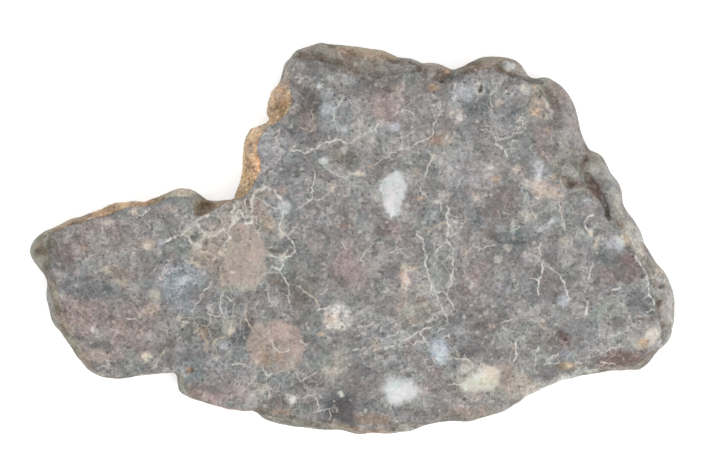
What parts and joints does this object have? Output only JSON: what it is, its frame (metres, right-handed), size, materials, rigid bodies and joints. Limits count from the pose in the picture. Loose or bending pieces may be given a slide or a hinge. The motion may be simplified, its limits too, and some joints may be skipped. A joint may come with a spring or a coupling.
{
  "type": "lunar meteorite slice",
  "caption": "Thin flat-sawn slice of lunar breccia with a polished face, an irregular outline and its natural lumpy rim.",
  "frame": {"origin": "centre of the outline's bounding box, on the sawn back face that the slice lies on", "axes": "+Z out of the polished face, +X along the slice's length towards its broad rounded end, +Y towards the side with the tall lobe"},
  "size_m": [0.0418, 0.0254, 0.003],
  "materials": {
    "breccia": "polished mottled grey and mauve breccia with pale fragments and veins, brown-grey weathered rim"
  },
  "bodies": {
    "root": {"meteorite_slice": "breccia"}
  },
  "joints": []
}
